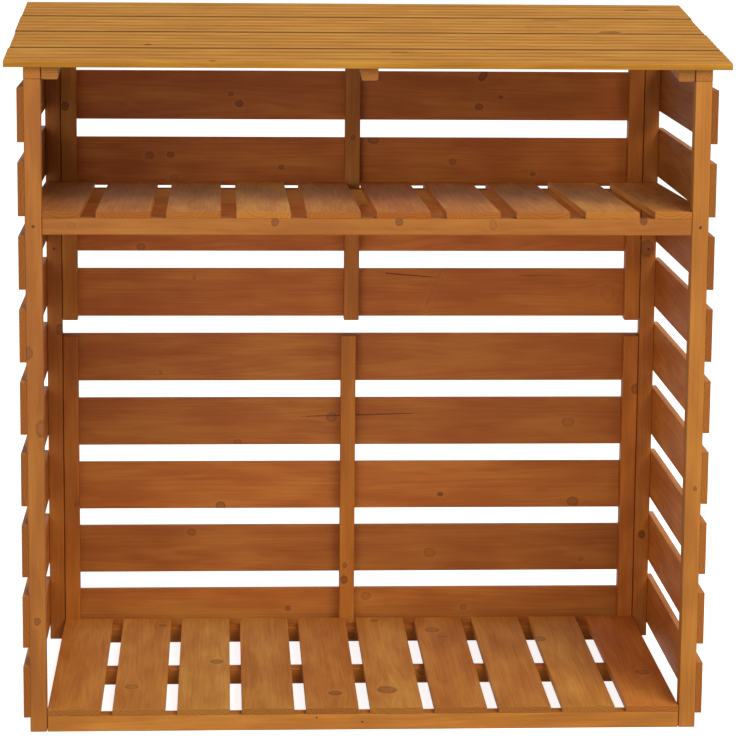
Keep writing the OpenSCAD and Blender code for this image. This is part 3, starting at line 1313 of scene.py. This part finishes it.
@dataclass
class Fixings(Part):
    """Countersunk wood screws with a cross recess, driven almost flush with the wood."""

    radii: tuple[float, ...] = (1.6, 2.8, 2.6, 1.9, 0.7)         # mm, from under the head up
    heights: tuple[float, ...] = (-1.2, 0.05, 0.25, 0.28, 0.04)  # mm above the wood
    recess: float = 0.24                                         # mm that the cross is deep
    cross_ring: int = 3             # the ring that the cross cuts
    sides: int = 12
    apart: float = 50 * MM          # two screws through one board
    panel_screw: float = 747 * MM   # height of the screw through each rear post

    def build(self) -> None:
        """Drives the screws of each face that shows some."""
        up, square = slope(Roof.pitch)
        self.drive("front_screws", self.front(), -Y)
        self.drive("left_side_screws", self.side("left"), -X)
        self.drive("right_side_screws", self.side("right"), X)
        self.drive("back_screws", self.back(), Y)
        self.drive("roof_screws", self.roof(up, square), -square)
        shelf = [middle_of(f"shelf_{row}_rail") * [0, 1, 1] + [x, 0, -BATTEN.thick / 2]
                 for row in ("front", "rear") for x in row_of("shelf_slats", 0, LAYER_SLATS)]
        self.drive("shelf_screws", shelf, -Z)

    def pair(self, x: float, y: float, z: float) -> list[Array]:
        """Places of two screws through one board, one above the other."""
        return [np.array([x, y, z + step * self.apart / 2]) for step in (-1, 1)]

    def front(self) -> list[Array]:
        """Places on the posts, left then right: at the shelf's rail in front, one behind."""
        heights = {"front": middle_of("shelf_front_rail")[2], "rear": self.panel_screw}
        return [middle_of(f"{side}_{row}_post") * [1, 1, 0] + [0, -BATTEN.thick / 2, z]
                for side in ("left", "right") for row, z in heights.items()]

    def back(self) -> list[Array]:
        """Places on the back: two through each board into each batten.

        Returns:
            The middles of the heads.
        """
        places = []
        for panel, count in BACK_BOARDS.items():
            for i in range(count):
                low, high = corners_of(f"{panel}_back_board_{i + 1}")
                for side in ACROSS:
                    x = middle_of(f"{panel}_back_batten_{side}")[0]
                    places += self.pair(x, high[1], (low[2] + high[2]) / 2)
        return places

    def side(self, side: str) -> list[Array]:
        """Places on one side: two through each slat into each post.

        Args:
            side: "left" or "right".

        Returns:
            The middles of the heads.
        """
        node = f"{side}_side_slats"
        low, high = corners_of(node)
        x = low[0] if side == "left" else high[0]
        return [place for row in ("front", "rear") for z in row_of(node, 2, SIDE_SLATS)
                for place in self.pair(x, middle_of(f"{side}_{row}_post")[1], z)]

    def roof(self, up: Array, square: Array) -> list[Array]:
        """Places under the roof battens: one into each board.

        Args:
            up: direction up the slope.
            square: direction square to it.

        Returns:
            The middles of the heads.
        """
        places = []
        for side in ACROSS:
            centre = middle_of(f"roof_batten_{side}") - square * Roof.batten_h / 2
            for i in range(len(Roof.lands)):
                along = (middle_of(f"roof_board_{i + 1}") - centre)[1] / up[1]
                places.append(centre + up * along)
        return places

    def drive(self, name: str, places: Sequence[Array], axis: Array) -> None:
        """Makes one piece of all the heads on one face.

        A head is a grid of rings by directions.  Its height is the ring's own, less the
        recess on the cross's ring in the four directions of the cross.  A normal is the
        cross product of the grid's two directions.

        Args:
            name: the piece's name.
            places: middles of the heads, on the wood.
            axis: the way they face.
        """
        turns = self.carpenter.yard.rng.uniform(0.0, math.pi / 2, len(places))
        steps = np.arange(self.sides)
        angle = turns[:, None] + 2 * math.pi * steps[None] / self.sides
        radius = np.array(self.radii)[None, :, None, None] * MM
        height = np.repeat(np.array(self.heights)[:, None], self.sides, axis=1)
        height[self.cross_ring] -= (steps % (self.sides // 4) == 0) * self.recess
        u = np.cross(axis, Z if abs(axis[2]) < 0.5 else Y)
        v = np.cross(axis, u)
        ray = np.cos(angle)[..., None] * u + np.sin(angle)[..., None] * v
        grid = (np.array(places)[:, None, None] + radius * ray[:, None]
                + height[None, ..., None] * MM * axis)
        around = np.roll(grid, -1, axis=2) - np.roll(grid, 1, axis=2)
        normal = np.cross(around, np.gradient(grid, axis=1))
        normal /= np.linalg.norm(normal, axis=3, keepdims=True)
        faces = tube_faces(len(self.radii), self.sides)
        shells = [Shell(p.reshape(-1, 3), n.reshape(-1, 3), faces)
                  for p, n in zip(grid, normal)]
        made = mesh_object(name, shells, self.woods[Slot.SCREWS])
        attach(made, BODY)
        LOG.info("%s: %d screws", name, len(places))


# ---------------------------------------------------------------- the studio


@dataclass(frozen=True)
class Softbox:
    """A square lamp: where it hangs, what it points at, its side and its power."""

    name: str
    place: tuple[float, float, float]
    target: tuple[float, float, float]
    side: float
    watts: float

    def hang(self) -> None:
        """Hangs the lamp."""
        data = bpy.data.lights.new(self.name, "AREA")
        data.shape, data.size, data.energy = "SQUARE", self.side, self.watts
        made = linked(self.name, data)
        made.location = self.place
        aim = Vector(self.target) - Vector(self.place)
        made.rotation_euler = aim.to_track_quat("-Z", "Y").to_euler()


@dataclass
class Studio:
    """Pale floor, white surroundings, soft lamps and the camera."""

    lamps: tuple[Softbox, ...] = (
        Softbox("key", (3.0, -4.9, 5.5), (0.0, 0.0, 0.4), 4.2, 412.0),
        Softbox("front", (-1.7, -4.6, 1.6), (0.0, 0.0, 0.6), 2.4, 62.0),
        Softbox("top", (0.0, 0.6, 4.2), (0.0, 0.0, 1.0), 2.2, 22.0),
    )
    world_light: float = 0.25
    floor_paint: str = "#e6e6e6"
    floor_reach: float = 60.0
    lift: tuple[float, float] = (0.85, 0.95)          # how much white is added to the floor
    lift_from: tuple[float, float] = (0.7, 2.6)       # near the store, and away from it
    camera_place: tuple[float, float, float] = (-0.2413, -4.9709, 1.5092)
    yaw: float = math.radians(-2.974)
    pitch: float = math.radians(-9.525)
    roll: float = math.radians(-0.49)
    lens: float = 139.27
    sensor: float = 36.0
    shift: tuple[float, float] = (-0.0013, -0.0766)
    sight: float = 200.0

    def build(self) -> None:
        """Sets up everything that isn't part of the store."""
        bpy.context.scene.view_settings.view_transform = "Standard"
        self.camera()
        self.surroundings()
        self.floor()
        for lamp in self.lamps:
            lamp.hang()

    def camera(self) -> None:
        """Makes the camera: it looks along +Y, then turns by roll, pitch and yaw."""
        data = bpy.data.cameras.new("camera")
        data.sensor_width, data.lens, data.clip_end = self.sensor, self.lens, self.sight
        data.shift_x, data.shift_y = self.shift
        made = linked("camera", data)
        turn = (Euler((0, 0, self.yaw)).to_matrix() @ Euler((self.pitch, 0, 0)).to_matrix()
                @ Euler((0, self.roll, 0)).to_matrix()
                @ Euler((math.pi / 2, 0, 0)).to_matrix())
        made.rotation_euler = turn.to_euler()
        made.location = self.camera_place
        bpy.context.scene.camera = made

    def seen(self, tree: Tree) -> Socket:
        """Adds nodes that find what the camera, a mirror or a pane sees directly.

        Args:
            tree: the material's or the world's tree.

        Returns:
            1 for such a ray and 0 for others.
        """
        rays = add(tree, "LightPath").node.outputs
        total = rays["Is Camera Ray"]
        for name in ("Is Glossy Ray", "Is Transmission Ray"):
            total = add(tree, "Math", {0: total, 1: rays[name]}, operation="MAXIMUM")
        return total

    def surroundings(self) -> None:
        """White world: full white where it is seen, softer as a light."""
        world = bpy.data.worlds.new("white_studio")
        world.use_nodes = True
        tree = world.node_tree
        tree.nodes.clear()
        strength = add(tree, "MapRange", {0: self.seen(tree), 3: self.world_light, 4: 1.0})
        add(tree, "OutputWorld", {0: add(tree, "Background", {0: WHITE, 1: strength})})
        bpy.context.scene.world = world

    def floor(self) -> None:
        """Wide matt floor, lifted to white where it is seen, with the store's shadow on it.

        The lift is less close to the store, so that its shadow there stays.
        """
        material, tree = blank_material("pale_floor")
        paint = add(tree, "BsdfDiffuse", {0: linear(self.floor_paint)})
        place = add(tree, "TexCoord", out="Object")
        away = add(tree, "VectorMath", {0: place}, "Value", operation="LENGTH")
        full = add(tree, "MapRange", dict(enumerate((away, *self.lift_from, *self.lift))),
                   interpolation_type="SMOOTHSTEP")
        lift = add(tree, "Math", {0: self.seen(tree), 1: full}, operation="MULTIPLY")
        glow = add(tree, "Emission", {0: WHITE, 1: lift})
        both = add(tree, "AddShader", {0: paint, 1: glow})
        add(tree, "OutputMaterial", {0: both})
        mesh = bpy.data.meshes.new("floor")
        plan = rectangle(2 * self.floor_reach, 2 * self.floor_reach)
        mesh.from_pydata([(x, y, 0.0) for x, y in plan.tolist()], [], [(0, 1, 2, 3)])
        mesh.materials.append(material)
        linked("floor", mesh)


def main() -> None:
    """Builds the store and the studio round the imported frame."""
    logging.basicConfig(level=logging.INFO, format="%(name)s %(message)s")
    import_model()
    knots = knot_group()
    woods = {Slot.BOARDS: BOARD_WOOD.material(knots), Slot.BATTENS: BATTEN_WOOD.material(knots),
             Slot.ROOF: ROOF_WOOD.material(knots), Slot.SCREWS: ScrewSteel().material()}
    carpenter = Carpenter(TimberYard(SEED))
    for part in (Corners, Sides, Back, Floor, Shelf, Roof, Fixings):
        part(carpenter, woods).build()
    Studio().build()


if __name__ == "__main__":
    main()
